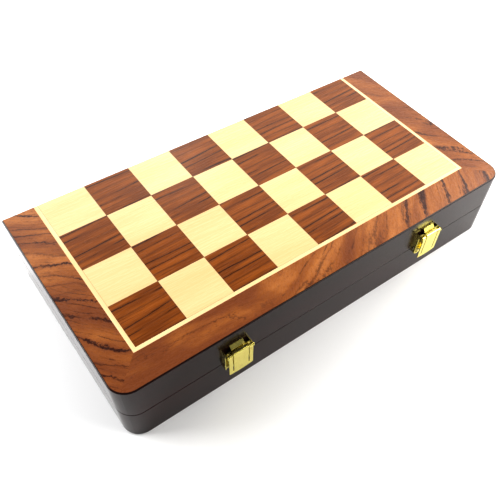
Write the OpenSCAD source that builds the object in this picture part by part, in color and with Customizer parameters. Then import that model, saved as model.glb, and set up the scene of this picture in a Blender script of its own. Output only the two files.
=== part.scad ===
// Folding games box: two equal trays hinged along one long edge, closed by two sprung latches.
// Millimetres. Origin at the centre of the bottom face, +X along the length, the latches on -Y, +Z up.

/* [Board] */
// Side of one square of the playing field
square_size = 31.75; // [24:0.25:40]
// Squares along the length of one tray
files = 8; // [6:2:10]
// Squares across the depth of one tray
ranks = 4; // [3:1:5]
// Width of the pale stringing round the squares
stringing_w = 2.5; // [1.5:0.1:4]
// Width of the figured border veneer
border_w = 19.6; // [14:0.2:26]
// Width of the dark rim left between the border and the outer face
rim_w = 0.9; // [0.9:0.1:2]
// Thickness of every veneer on the board face
veneer_t = 0.8; // [0.5:0.1:1.2]

/* [Trays] */
// Height of the closed case
case_h = 51.5; // [46:0.5:70]
// Open line between the two trays when they are shut
parting_gap = 0.2; // [0.1:0.05:0.4]
// Thickness of the rails that make the walls
rail_t = 8; // [7:0.5:10]
// Outer radius of the two corners on the latch side
corner_r = 11.5; // [10.5:0.5:16]
// Radius on the outer edge of the board face
edge_r = 0.8; // [0.4:0.1:0.9]
// Radius on the outer edge at the parting line
arris_r = 0.4; // [0.2:0.1:0.6]
// Radius on the upright edge at the two hinge-side corners
back_r = 0.8; // [0.4:0.1:0.9]
// Thickness of the board that closes each tray
panel_t = 4; // [3:0.5:5]
// Distance from the outer face to the edge of that board
panel_edge = 3; // [2.5:0.25:4]
// Thickness of the cloth lining
lining_t = 1; // [0.6:0.1:1.5]
// Gap round the edge of the lining
lining_gap = 0.3; // [0.1:0.1:1]

/* [Hinges] */
// Distance of each hinge's middle from the end of the case
hinge_end = 55; // [40:1:90]
// Length of a hinge
hinge_l = 26; // [22:1:32]
// Width of a leaf, from the back face into the rail
leaf_w = 6.4; // [6:0.2:6.8]
// Thickness of a leaf
leaf_t = 1; // [0.8:0.1:1.2]
// Outer radius of the knuckles
knuckle_r = 1.7; // [1.6:0.1:2]
// Radius of the hinge pin
hinge_pin_r = 0.75; // [0.6:0.05:0.8]
// Radial clearance between a pin and the bore that turns on it
running_gap = 0.05; // [0.02:0.01:0.08]
// Gap between neighbouring knuckles, and between a knuckle and the opposite leaf
knuckle_gap = 0.2; // [0.15:0.05:0.3]
// Distance of the pin axis behind the back face
axis_out = 0.15; // [0.1:0.05:0.3]
// Radius of a hinge screw
screw_r = 1; // [0.8:0.1:1.2]
// Radius of its countersunk head
screw_head_r = 1.9; // [1.7:0.1:2.1]
// Length of the screw under its head
screw_l = 6; // [4:0.5:8]
// Distance of each screw from the end of its leaf
screw_end = 5.4; // [4.8:0.1:6.5]
// Width and depth of the slot in a screw's head
screw_slot = 0.5; // [0.4:0.1:0.6]

/* [Latches] */
// Distance of each latch's middle from the end of the case
latch_end = 71.9; // [40:0.1:100]
// Thickness of the sheet metal
sheet_t = 0.5; // [0.5:0.1:0.8]
// Clearance kept between latch pieces that move past each other
latch_gap = 0.3; // [0.2:0.05:0.3]
// Width of the lever
lever_w = 16.8; // [16:0.2:20]
// Outward distance of the lever's front face from the wall
lever_out = 5.2; // [5:0.1:6]
// Thickness of the lever
lever_t = 0.7; // [0.5:0.1:0.8]
// Height of the lever's top above the parting plane
lever_top = 13; // [12.5:0.1:14]
// Drop of the lever's lower corners below the parting plane
lever_drop = 7.2; // [6.4:0.2:8.5]
// Bulge of the lever's lower edge
lever_bulge = 0.8; // [0.4:0.1:1.4]
// Width of the springy middle of the lever, between its two slots
tongue_w = 10.2; // [9:0.2:11]
// Width of each slot
slot_w = 0.7; // [0.5:0.1:1]
// Height of the lever's web left below the slots
slot_foot = 2.2; // [1.5:0.1:4]
// Outer radius of the bend at the top of the lever's middle
lip_bend_r = 0.9; // [0.8:0.1:1.6]
// Outward distance at which the bent-back lip ends
lip_in = 3; // [2.9:0.05:3.4]
// Width of the hook behind the lever's foot
hook_w = 5.2; // [4:0.2:6]
// Drop of the hook's upper face below the parting plane
hook_drop = 5.2; // [5:0.1:5.6]
// Radius of the latch pin
latch_pin_r = 0.5; // [0.4:0.05:0.6]
// Distance of the pin axis under the lever's top
latch_pin_drop = 2.1; // [2:0.1:2.4]
// Extra radius of the pin's headed ends
pin_head = 0.35; // [0.2:0.05:0.5]
// Length of each headed end
pin_head_l = 0.4; // [0.3:0.1:0.6]
// Gap between the lever and the frame's sides
side_gap = 0.2; // [0.15:0.05:0.3]
// Outward distance of the frame's face from the wall
frame_out = 2.2; // [2:0.1:2.3]
// Angle the frame's tab is bent back by
tab_lean = 40; // [36:1:44]
// Height of the frame's shoulders above the parting plane
frame_shoulder = 12.3; // [12:0.1:12.6]
// Drop of the frame's sides below the parting plane
frame_drop = 5; // [3.5:0.1:6]
// Drop of the frame's face below the parting plane
frame_face_drop = 3.4; // [2:0.1:3.4]
// Outer radius of the bend at the tab
frame_bend_r = 1.2; // [1:0.1:1.6]
// Width of the tab that slopes back to the wall
tab_w = 9.1; // [8:0.1:10]
// Wall left round the pin's hole in the frame's ears
ear_wall = 0.8; // [0.6:0.1:1]
// Width of each prong driven into the wall
prong_w = 2; // [1.5:0.1:2.4]
// Length of the prongs in the wood
prong_l = 4.5; // [3:0.5:6]
// Heights of the two prongs on each side
prong_low = 3; // [2:0.1:4]
prong_high = 9; // [7:0.1:10.5]
// Thickness of the catch plate
catch_t = 0.7; // [0.5:0.1:0.8]
// Width of the catch plate at its foot
catch_w = 12; // [10:0.5:14]
// Width of its ledge
ledge_w = 6.4; // [5.6:0.2:7]
// Outward reach of the ledge
ledge_out = 3; // [2.6:0.1:3.1]
// Height of the catch plate from its foot to the ledge's underside
catch_h = 4.3; // [4:0.1:5.5]
// Outer radius of the bend at the ledge
ledge_bend_r = 1.1; // [0.9:0.1:1.3]
// Radius of the nails that hold the catch plate
nail_r = 0.55; // [0.4:0.05:0.7]
// Radius of a nail's head
nail_head_r = 1.1; // [0.9:0.1:1.3]
// Thickness of a nail's head
nail_head_t = 0.5; // [0.3:0.1:0.5]
// Length of a nail in the wood
nail_l = 5.5; // [4:0.5:6]
// Distance of each nail from the end and the foot of its plate
nail_edge = 1.6; // [1.4:0.1:2]

/* [Hidden] */
$fn = 64;
eps = 0.01;
past = 1;

// Board face, measured inwards from the outer face
border_in = rim_w + border_w;
field_in = border_in + stringing_w;
case_l = files * square_size + 2 * field_in;
case_d = ranks * square_size + field_in;
half_l = case_l / 2;
half_d = case_d / 2;

// Levels, measured from the parting plane towards a board face
face_t = case_h / 2;
rim_t = parting_gap / 2;
veneer_from = face_t - veneer_t;
panel_from = veneer_from - panel_t;
lining_from = panel_from - lining_t;

// Hinge places
hinge_x = half_l - hinge_end;
hinge_y = half_d + axis_out;
knuckle_l = (hinge_l - 2 * knuckle_gap) / 3;
screw_x = hinge_l / 2 - screw_end;
screw_y = (half_d - leaf_w + hinge_y - knuckle_r - knuckle_gap) / 2;
cone_h = screw_head_r - screw_r;

// Latch places, with out measured from the wall and heights from the parting plane
latch_x = half_l - latch_end;
latch_pin_z = lever_top - latch_pin_drop;
latch_bore_r = latch_pin_r + running_gap;
loop_r = latch_bore_r + lever_t;
loop_x = tongue_w / 2 + slot_w;
lever_in = lever_out - lever_t;
latch_pin_out = lever_out - loop_r;
lever_foot = -lever_drop - lever_bulge;
bulge_r = (pow(lever_w / 2, 2) + pow(lever_bulge, 2)) / (2 * lever_bulge);
side_in = lever_w / 2 + side_gap;
side_out = side_in + sheet_t;
tab_run = (frame_out - frame_bend_r * (1 - cos(tab_lean))) / sin(tab_lean);
ear_r = latch_pin_r + ear_wall;
hook_in = ledge_out + latch_gap;
ledge_under = -hook_drop + latch_gap;
ledge_top = ledge_under + catch_t;
catch_foot = ledge_under - catch_h;
catch_nail = [catch_w / 2 - nail_edge, catch_foot + nail_edge];

// Half of the case in which a tray lies: +1 is the upper tray, -1 the lower one
module in_tray(side) {
    translate([0, 0, face_t])
        mirror([0, 0, side > 0 ? 0 : 1])
            children();
}

// Drawn as it stands on the right (+1), or mirrored to the left (-1)
module on_side(sign) {
    mirror([sign < 0 ? 1 : 0, 0, 0]) children();
}

module both_sides() {
    for (sign = [-1, 1]) on_side(sign) children();
}

// Rails

// What is taken off a square outer edge to round it
module edge_waste(r) {
    difference() {
        translate([-past, 0]) square([r + past, r + past]);
        translate([r, 0]) circle(r);
    }
}

// Section of a rail: x runs inwards from the outer face, y from the parting plane to the board face.
// The seat is the rebate that takes the edge of the board
module rail_section(seat = true) {
    difference() {
        translate([0, rim_t]) square([rail_t, face_t - rim_t]);
        translate([rim_w, veneer_from]) square([rail_t, veneer_t + past]);
        if (seat) translate([panel_edge, panel_from]) square([rail_t, panel_t + past]);
        translate([0, face_t - edge_r]) edge_waste(edge_r);
        translate([0, rim_t + arris_r]) mirror([0, 1]) edge_waste(arris_r);
    }
}

module back_section() {
    difference() {
        translate([0, rim_t]) square([rail_t, veneer_from - rim_t]);
        translate([panel_edge, panel_from]) square([rail_t, panel_t + past]);
    }
}

// Half of the right-hand rounded corner, on the front rail's side of its mitre
module corner_half() {
    rotate([0, 0, -90])
        rotate_extrude(angle = 45)
            translate([corner_r, 0]) mirror([1, 0]) rail_section();
}

module at_corner() {
    translate([half_l - corner_r, corner_r - half_d, 0]) children();
}

module front_rail_blank() {
    run = case_l - 2 * corner_r;
    translate([-run / 2, -half_d, 0])
        rotate([90, 0, 90])
            linear_extrude(run) rail_section();
    both_sides() at_corner() corner_half();
}

// The last stretch, behind the board's back edge, has no seat
module right_rail_blank() {
    run = case_d - corner_r - panel_edge;
    translate([half_l, corner_r - half_d, 0]) rotate([90, 0, 180]) {
        linear_extrude(run) rail_section();
        translate([0, 0, run]) linear_extrude(panel_edge) rail_section(seat = false);
    }
    at_corner() mirror([1, 1, 0]) corner_half();
}

module back_rail_blank() {
    run = case_l - 2 * rail_t;
    translate([run / 2, half_d, 0])
        rotate([90, 0, -90])
            linear_extrude(run) back_section();
}

module rail_colour() {
    color([0.13, 0.08, 0.07]) children();
}

module front_rail(side) {
    rail_colour() difference() {
        in_tray(side) front_rail_blank();
        if (side > 0) at_latches() prongs();
        else at_latches() catch_nails_at() nail_shank();
    }
}

module back_rail(side) {
    rail_colour() in_tray(side) difference() {
        back_rail_blank();
        at_hinges() {
            knuckle_notch();
            leaf_mortise();
            screw_places() cylinder(h = screw_l + cone_h + rim_t + leaf_t, r = screw_r);
        }
    }
}

module side_rail(side, sign) {
    rail_colour() in_tray(side) on_side(sign) difference() {
        right_rail_blank();
        translate([half_l, half_d - back_r, 0]) mirror([1, 0, 0])
            linear_extrude(face_t + past) edge_waste(back_r);
    }
}

// Board face

// Plan of the case, inset on three sides and, by its own amount, at the hinge edge
module plan(inset, back_inset) {
    r = corner_r - inset;
    w = case_l - 2 * inset;
    d = case_d - inset - back_inset;
    translate([-w / 2, inset - half_d + r]) square([w, d - r]);
    translate([-w / 2 + r, inset - half_d]) square([w - 2 * r, d]);
    for (sign = [-1, 1]) translate([sign * (w / 2 - r), inset - half_d + r]) circle(r);
}

// Part of the plan that lies further in than an inset with square corners
module inner_plan(inset) {
    translate([inset - half_l, inset - half_d]) square([case_l - 2 * inset, case_d - inset + past]);
}

// Wedges that cut the three strips of a band with mitres at the latch-side corners
module front_wedge(reach) {
    polygon([[-half_l, -half_d], [half_l, -half_d],
        [half_l - reach, reach - half_d], [reach - half_l, reach - half_d]]);
}

module side_wedge(sign, reach) {
    on_side(sign)
        polygon([[half_l, -half_d], [half_l, half_d],
            [half_l - reach, half_d], [half_l - reach, reach - half_d]]);
}

module veneer(side) {
    in_tray(side) translate([0, 0, veneer_from]) linear_extrude(veneer_t) children();
}

module border_band() {
    difference() {
        plan(rim_w, 0);
        inner_plan(border_in);
    }
}

module border_front(side) {
    color([0.66, 0.36, 0.2]) veneer(side) intersection() {
        border_band();
        front_wedge(border_in + past);
    }
}

module border_side(side, sign) {
    color([0.66, 0.38, 0.22]) veneer(side) intersection() {
        border_band();
        side_wedge(sign, border_in + past);
    }
}

module stringing_band() {
    difference() {
        translate([border_in - half_l, border_in - half_d])
            square([case_l - 2 * border_in, case_d - border_in]);
        inner_plan(field_in);
    }
}

module stringing_front(side) {
    color([0.95, 0.86, 0.66]) veneer(side) intersection() {
        stringing_band();
        front_wedge(field_in + past);
    }
}

module stringing_side(side, sign) {
    color([0.95, 0.86, 0.66]) veneer(side) intersection() {
        stringing_band();
        side_wedge(sign, field_in + past);
    }
}

// Squares of one colour; the lower tray carries the other half of the chequer
module squares(side, parity) {
    swap = side > 0 ? 0 : 1;
    for (u = [0 : files - 1], v = [0 : ranks - 1])
        if ((u + v + swap) % 2 == parity)
            veneer(side)
                translate([field_in - half_l + u * square_size, field_in - half_d + v * square_size])
                    square(square_size);
}

module dark_squares(side) {
    color([0.5, 0.28, 0.17]) squares(side, 0);
}

module light_squares(side) {
    color([0.96, 0.92, 0.72]) squares(side, 1);
}

module panel(side) {
    color([0.72, 0.6, 0.44]) in_tray(side)
        translate([0, 0, panel_from]) linear_extrude(panel_t) plan(panel_edge, panel_edge);
}

module lining(side) {
    color([0.1, 0.3, 0.18]) in_tray(side)
        translate([0, 0, lining_from]) linear_extrude(lining_t)
            plan(rail_t + lining_gap, rail_t + lining_gap);
}

// Hinges, drawn for one tray with heights from the parting plane into it

module at_hinges() {
    for (sign = [-1, 1]) translate([sign * hinge_x, 0, 0]) children();
}

module along_x(l, r) {
    translate([-l / 2, hinge_y, 0]) rotate([0, 90, 0]) cylinder(h = l, r = r);
}

module knuckle_notch() {
    along_x(hinge_l + 2 * knuckle_gap, knuckle_r + knuckle_gap + eps);
}

module leaf_mortise() {
    translate([-hinge_l / 2 - knuckle_gap / 2, half_d - leaf_w, 0])
        cube([hinge_l + knuckle_gap, leaf_w + past, rim_t + leaf_t]);
}

module screw_places() {
    for (sign = [-1, 1]) translate([sign * screw_x, screw_y, 0]) children();
}

// Countersunk head at the leaf's face, without its shank
module screw_cone() {
    translate([0, 0, rim_t]) cylinder(h = cone_h, r1 = screw_head_r, r2 = screw_r);
}

module knuckle_slots(side) {
    step = knuckle_l + knuckle_gap;
    places = side > 0 ? [0] : [-step, step];
    for (x = places) translate([x, 0, 0]) children();
}

module leaf(side) {
    other = -side;
    in_tray(side) difference() {
        union() {
            translate([-hinge_l / 2, half_d - leaf_w, rim_t]) cube([hinge_l, leaf_w + axis_out, leaf_t]);
            knuckle_slots(side) along_x(knuckle_l, knuckle_r);
        }
        knuckle_slots(other) along_x(knuckle_l + 2 * knuckle_gap, knuckle_r + knuckle_gap);
        along_x(hinge_l + past, hinge_pin_r + running_gap);
        screw_places() {
            screw_cone();
            cylinder(h = rim_t + leaf_t + past, r = screw_r);
        }
    }
}

module brass() {
    color([0.83, 0.68, 0.3]) children();
}

module hinge_leaf(side, sign) {
    brass() translate([sign * hinge_x, 0, 0]) leaf(side);
}

module hinge_pin(sign) {
    brass() translate([sign * hinge_x, 0, face_t]) along_x(hinge_l, hinge_pin_r);
}

module hinge_screws(side) {
    brass() in_tray(side) at_hinges() screw_places() difference() {
        union() {
            screw_cone();
            translate([0, 0, rim_t + cone_h]) cylinder(h = screw_l, r = screw_r);
        }
        translate([-screw_head_r, -screw_slot / 2, rim_t - past])
            cube([2 * screw_head_r, screw_slot, past + screw_slot]);
    }
}

// Latches, drawn at the middle of the case with the wall at y = 0 and the parting plane at z = 0

module at_latch(sign) {
    translate([sign * latch_x, -half_d, face_t]) children();
}

module at_latches() {
    for (sign = [-1, 1]) at_latch(sign) children();
}

// A block given by its half width, its outward span and its heights
module block(half_w, out_from, out_to, z_from, z_to) {
    translate([-half_w, -out_to, z_from]) cube([2 * half_w, out_to - out_from, z_to - z_from]);
}

// The same, once on each side of the middle
module side_blocks(x_from, x_to, out_from, out_to, z_from, z_to) {
    both_sides()
        translate([x_from, -out_to, z_from]) cube([x_to - x_from, out_to - out_from, z_to - z_from]);
}

// A side view (x outwards from the wall, y upwards), given a width along the wall
module sideways(x_from, x_to) {
    translate([x_from, 0, 0]) mirror([0, 1, 0]) rotate([90, 0, 90]) linear_extrude(x_to - x_from) children();
}

// Side view of a sheet that stands at out_to, rises to z_to and is bent back to out_from
module bent_back(out_from, out_to, z_from, z_to, t, r) {
    translate([out_to - t, z_from]) square([t, z_to - r - z_from]);
    translate([out_from, z_to - t]) square([out_to - r - out_from, t]);
    translate([out_to - r, z_to - r]) intersection() {
        difference() {
            circle(r);
            circle(r - t);
        }
        square(r);
    }
}

module latch_axis(x_from, x_to, r) {
    translate([x_from, -latch_pin_out, latch_pin_z]) rotate([0, 90, 0]) cylinder(h = x_to - x_from, r = r);
}

// Flat front of the lever, below the bend of its middle, with its bowed lower edge
module lever_outline() {
    intersection() {
        translate([-lever_w / 2, lever_foot]) square([lever_w, lever_top - lip_bend_r - lever_foot]);
        translate([0, lever_foot + bulge_r]) circle(bulge_r, $fn = 360);
    }
}

module lever_front() {
    difference() {
        translate([0, -lever_in, 0]) rotate([90, 0, 0]) linear_extrude(lever_t) lever_outline();
        side_blocks(tongue_w / 2, loop_x, 0, lever_out + past, slot_foot - lever_drop, lever_top + past);
        side_blocks(loop_x - eps, lever_w, 0, lever_out + past, latch_pin_z, lever_top + past);
    }
}

// Loop rolled inwards at the top of a side band, left open towards the front plate
module rolled_loop() {
    difference() {
        latch_axis(loop_x, lever_w / 2, loop_r);
        translate([loop_x - past, -lever_in, latch_pin_z - loop_r - past])
            cube([lever_w, lever_in - latch_pin_out, loop_r + past]);
    }
}

module lever(sign) {
    brass() at_latch(sign) difference() {
        union() {
            lever_front();
            sideways(-tongue_w / 2, tongue_w / 2)
                bent_back(lip_in, lever_out, latch_pin_z, lever_top, lever_t, lip_bend_r);
            both_sides() rolled_loop();
            block(hook_w / 2, hook_in, lever_in + eps, -hook_drop - lever_t, -hook_drop);
        }
        both_sides() latch_axis(loop_x - slot_w / 2, lever_w, latch_bore_r);
    }
}

// Side view of one side of the frame, clear of the lower wall and with an ear for the pin
module frame_side_outline() {
    translate([0, latch_gap]) square([frame_out, frame_shoulder - latch_gap]);
    translate([latch_gap, -frame_drop]) square([frame_out - latch_gap, frame_drop + latch_gap]);
    translate([frame_out - eps, latch_pin_z - ear_r]) square([latch_pin_out - frame_out + eps, 2 * ear_r]);
    translate([latch_pin_out, latch_pin_z]) circle(ear_r);
}

module prongs() {
    for (z = [prong_low, prong_high])
        side_blocks(side_in, side_out, -prong_l, 0, z - prong_w / 2, z + prong_w / 2);
}

// Area behind a line that runs up to the bend's middle, turns with it and slopes back to the wall
module behind_bend(from, r) {
    circle(r);
    translate([from, -sheet_t]) square([r - from, sheet_t]);
    rotate(tab_lean) translate([from, 0]) square([r - from, 2 * tab_run]);
}

// Side view of the frame's tab: bent back above the face, it slopes up to the wall
module tab_outline() {
    translate([frame_out - frame_bend_r, frame_shoulder]) intersection() {
        difference() {
            behind_bend(0, frame_bend_r);
            behind_bend(-2 * frame_bend_r, frame_bend_r - sheet_t);
        }
        translate([frame_bend_r - frame_out, -sheet_t]) square([frame_out, 2 * tab_run]);
    }
}

module latch_frame(sign) {
    brass() at_latch(sign) difference() {
        union() {
            block(side_out, frame_out - sheet_t, frame_out, -frame_face_drop, frame_shoulder);
            sideways(-tab_w / 2, tab_w / 2)
                tab_outline();
            both_sides() sideways(side_in, side_out) frame_side_outline();
            prongs();
        }
        latch_axis(-lever_w, lever_w, latch_pin_r);
    }
}

module latch_pin(sign) {
    brass() at_latch(sign) {
        latch_axis(-side_out - pin_head_l, side_out + pin_head_l, latch_pin_r);
        both_sides() latch_axis(side_out, side_out + pin_head_l, latch_pin_r + pin_head);
    }
}

// Side view of the catch's neck, which rises along the wall and is bent out into the ledge
module ledge_outline() {
    translate([ledge_out, 0]) mirror([1, 0])
        bent_back(0, ledge_out, catch_foot, ledge_top, catch_t, ledge_bend_r);
}

module latch_catch(sign) {
    brass() at_latch(sign) difference() {
        union() {
            block(catch_w / 2, 0, catch_t, catch_foot, catch_foot + 2 * nail_edge);
            sideways(-ledge_w / 2, ledge_w / 2) ledge_outline();
        }
        catch_nails_at() nail_shank();
    }
}

module catch_nails_at() {
    both_sides() translate([catch_nail[0], 0, catch_nail[1]]) rotate([90, 0, 0]) children();
}

// Shank of a nail, from its tip in the wood to the face of the plate
module nail_shank() {
    translate([0, 0, -nail_l]) cylinder(h = nail_l + catch_t, r = nail_r);
}

module catch_nails() {
    color([0.78, 0.63, 0.28]) at_latches() catch_nails_at() {
        nail_shank();
        translate([0, 0, catch_t]) cylinder(h = nail_head_t, r = nail_head_r);
    }
}

front_rail(-1);  // lower_front_rail
back_rail(-1);  // lower_back_rail
side_rail(-1, -1);  // lower_left_rail
side_rail(-1, 1);  // lower_right_rail
panel(-1);  // lower_panel
border_front(-1);  // lower_border_front
border_side(-1, -1);  // lower_border_left
border_side(-1, 1);  // lower_border_right
stringing_front(-1);  // lower_stringing_front
stringing_side(-1, -1);  // lower_stringing_left
stringing_side(-1, 1);  // lower_stringing_right
dark_squares(-1);  // lower_dark_squares
light_squares(-1);  // lower_light_squares
lining(-1);  // lower_lining
front_rail(1);  // upper_front_rail
back_rail(1);  // upper_back_rail
side_rail(1, -1);  // upper_left_rail
side_rail(1, 1);  // upper_right_rail
panel(1);  // upper_panel
border_front(1);  // upper_border_front
border_side(1, -1);  // upper_border_left
border_side(1, 1);  // upper_border_right
stringing_front(1);  // upper_stringing_front
stringing_side(1, -1);  // upper_stringing_left
stringing_side(1, 1);  // upper_stringing_right
dark_squares(1);  // upper_dark_squares
light_squares(1);  // upper_light_squares
lining(1);  // upper_lining
hinge_leaf(-1, -1);  // hinge_left_lower_leaf
hinge_leaf(1, -1);  // hinge_left_upper_leaf
hinge_pin(-1);  // hinge_left_pin
hinge_leaf(-1, 1);  // hinge_right_lower_leaf
hinge_leaf(1, 1);  // hinge_right_upper_leaf
hinge_pin(1);  // hinge_right_pin
hinge_screws(-1);  // hinge_lower_screws
hinge_screws(1);  // hinge_upper_screws
latch_frame(-1);  // latch_left_frame
lever(-1);  // latch_left_lever
latch_pin(-1);  // latch_left_pin
latch_catch(-1);  // latch_left_catch
latch_frame(1);  // latch_right_frame
lever(1);  // latch_right_lever
latch_pin(1);  // latch_right_pin
latch_catch(1);  // latch_right_catch
catch_nails();  // latch_catch_nails
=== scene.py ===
from math import asin, cos, degrees, radians, sin

import bmesh
import bpy
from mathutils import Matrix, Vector


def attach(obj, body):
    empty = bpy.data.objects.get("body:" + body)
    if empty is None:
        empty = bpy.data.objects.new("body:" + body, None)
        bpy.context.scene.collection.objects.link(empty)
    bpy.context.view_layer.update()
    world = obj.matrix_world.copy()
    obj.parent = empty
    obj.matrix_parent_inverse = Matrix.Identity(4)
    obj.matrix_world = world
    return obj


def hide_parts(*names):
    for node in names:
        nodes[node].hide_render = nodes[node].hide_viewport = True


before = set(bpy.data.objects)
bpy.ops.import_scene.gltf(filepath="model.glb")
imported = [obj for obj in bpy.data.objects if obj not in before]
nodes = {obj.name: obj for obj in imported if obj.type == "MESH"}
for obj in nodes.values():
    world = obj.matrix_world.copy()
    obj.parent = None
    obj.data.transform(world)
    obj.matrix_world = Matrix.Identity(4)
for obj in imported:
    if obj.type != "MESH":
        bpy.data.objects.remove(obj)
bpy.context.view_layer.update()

# camera, light and table
camera = {"place": (-0.1701, -0.2144, 0.3168), "turn": (36.42, -2.96, -37.23), "lens": 40.92,
          "sensor": 36, "shift": (-0.0621, 0.0807), "nearest": 0.01}
table = {"size": 6, "below": 0.0002, "color": (0.9, 0.9, 0.9, 1), "roughness": 0.5}
room = {"color": (0.98, 0.99, 1, 1), "strength": 0.18, "gamma": 0.8}
lights = (  # name, place, size, power and colour
    ("windowLeft", (-0.81, 0.81, 0.61), 1.0, 29, (1, 1, 1)),
    ("windowBack", (0, 1.15, 0.61), 1.0, 9, (0.98, 0.99, 1)),
    ("windowRight", (0.81, 0.81, 0.61), 1.0, 7.5, (1, 0.99, 0.97)),
    ("lampRight", (0.62, -0.1, 0.4), 0.5, 5.4, (1, 0.98, 0.95)),
    ("lampFront", (0.45, -0.5, 0.45), 0.5, 5.7, (1, 0.99, 0.97)),
)


def addCamera():
    turn = [radians(angle) for angle in camera["turn"]]
    bpy.ops.object.camera_add(location=camera["place"], rotation=turn)
    eye = bpy.context.object
    eye.name = "photoCamera"
    eye.data.sensor_width = camera["sensor"]
    eye.data.lens = camera["lens"]
    eye.data.shift_x, eye.data.shift_y = camera["shift"]
    eye.data.clip_start = camera["nearest"]
    bpy.context.scene.camera = eye


def addLight(name, place, size, power, color):
    bpy.ops.object.light_add(type="AREA", location=place)
    light = bpy.context.object
    light.name = name
    light.data.shape = "SQUARE"
    light.data.size = size
    light.data.energy = power
    light.data.color = color
    light.rotation_euler = (-light.location).to_track_quat("-Z", "Y").to_euler()


def addTable():
    bpy.ops.mesh.primitive_plane_add(size=table["size"], location=(0, 0, -table["below"]))
    top = bpy.context.object
    top.name = "table"
    bpy.ops.object.transform_apply(location=True)
    paint = bpy.data.materials.new("tableWhite")
    paint.use_nodes = True
    shader = paint.node_tree.nodes["Principled BSDF"]
    shader.inputs["Base Color"].default_value = table["color"]
    shader.inputs["Roughness"].default_value = table["roughness"]
    top.data.materials.append(paint)


def addRoom():
    world = bpy.data.worlds.new("paleRoom")
    world.use_nodes = True
    glow = world.node_tree.nodes["Background"]
    glow.inputs["Color"].default_value = room["color"]
    glow.inputs["Strength"].default_value = room["strength"]
    bpy.context.scene.world = world
    bpy.context.scene.view_settings.view_transform = "Standard"
    bpy.context.scene.view_settings.gamma = room["gamma"]


bpy.ops.object.select_all(action="DESELECT")
addCamera()
for lamp in lights:
    addLight(*lamp)
addTable()
addRoom()
print("camera, light and table ready")


# shader helpers
class Graph:  # a node tree that is filled line by line
    def __init__(self, tree):
        self.tree = tree

    def put(self, node, socket, value):
        if isinstance(value, bpy.types.NodeSocket):
            self.tree.links.new(value, node.inputs[socket])
        else:
            node.inputs[socket].default_value = value

    def add(self, kind, sockets=None, **settings):
        node = self.tree.nodes.new(kind)
        for key, value in settings.items():
            setattr(node, key, value)
        for socket, value in (sockets or {}).items():
            self.put(node, socket, value)
        return node

    def math(self, operation, *values):
        return self.add("ShaderNodeMath", dict(enumerate(values)), operation=operation).outputs[0]

    def vector(self, operation, *values):
        node = self.add("ShaderNodeVectorMath", dict(enumerate(values)), operation=operation)
        return node.outputs[0]

    def split(self, vector):
        return self.add("ShaderNodeSeparateXYZ", {0: vector}).outputs

    def join(self, x, y, z):
        return self.add("ShaderNodeCombineXYZ", {0: x, 1: y, 2: z}).outputs[0]

    def spread(self, value, low, high, outLow=0.0, outHigh=1.0):
        sockets = {"Value": value, "From Min": low, "From Max": high,
                   "To Min": outLow, "To Max": outHigh}
        node = self.add("ShaderNodeMapRange", sockets, interpolation_type="SMOOTHSTEP")
        return node.outputs["Result"]

    def mix(self, share, first, second):
        sockets = {0: share, 6: first, 7: second}
        return self.add("ShaderNodeMix", sockets, data_type="RGBA").outputs[2]

    def mixValue(self, share, first, second):
        sockets = {0: share, 2: first, 3: second}
        return self.add("ShaderNodeMix", sockets, data_type="FLOAT").outputs[0]

    def layer(self, color, mask, share, tint):
        # lay a tint over a colour where the mask shows
        return self.mix(self.math("MULTIPLY", mask, share), color, tint)

    def noise(self, place, scale, detail, roughness):
        sockets = {"Vector": place, "Scale": scale, "Detail": detail, "Roughness": roughness}
        return self.add("ShaderNodeTexNoise", sockets).outputs["Fac"]

    def turned(self, place, angle, stretch, shift=(0, 0, 0)):
        # turn a pattern about Z, then make it longer along its own x
        sockets = {"Vector": place, "Rotation": (0, 0, radians(-angle)), "Location": shift}
        turn = self.add("ShaderNodeMapping", sockets, vector_type="POINT")
        sockets = {"Vector": turn.outputs[0], "Scale": stretch}
        return self.add("ShaderNodeMapping", sockets, vector_type="POINT").outputs[0]

    def swept(self, place, slope, growth, stretch, shift):
        # a pattern whose lines along x lie steeper the further along they are
        x, y, z = self.split(place)
        rise = self.math("MULTIPLY", x, self.math("MULTIPLY_ADD", x, growth / 2, slope))
        joined = self.join(self.math("MULTIPLY", x, stretch), self.math("SUBTRACT", y, rise), z)
        return self.vector("ADD", joined, shift)

    def bump(self, height, strength, distance):
        sockets = {"Height": height, "Strength": strength, "Distance": distance}
        return self.add("ShaderNodeBump", sockets).outputs["Normal"]


def newGroup(name, inputs, outputs):
    tree = bpy.data.node_groups.new(name, "ShaderNodeTree")
    for way, sockets in (("INPUT", inputs), ("OUTPUT", outputs)):
        for label, kind in sockets.items():
            socketKind = "NodeSocket" + kind
            tree.interface.new_socket(name=label, in_out=way, socket_type=socketKind)
    graph = Graph(tree)
    start = graph.add("NodeGroupInput")
    end = graph.add("NodeGroupOutput")
    return graph, start.outputs, end.inputs


def useGroup(graph, tree, **values):
    return graph.add("ShaderNodeGroup", values, node_tree=tree).outputs


# noises that bend, roughen and fade the dark lines: how detailed and how rough each is, and the
# ranges that turn them into a width or a strength
figure = {"broad": (1, 0.4), "fineStretch": (2.6, 1, 1), "fineScale": 7, "fine": (4, 0.75),
          "patchScale": 2.6, "patch": (2, 0.6), "widths": (0.3, 0.75, 0.6, 1.8), "fadeOver": 0.12,
          "faded": (0.25, 1), "strengths": (0, 0.6, 0.35, 1), "haloWidth": 3.2}


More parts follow.
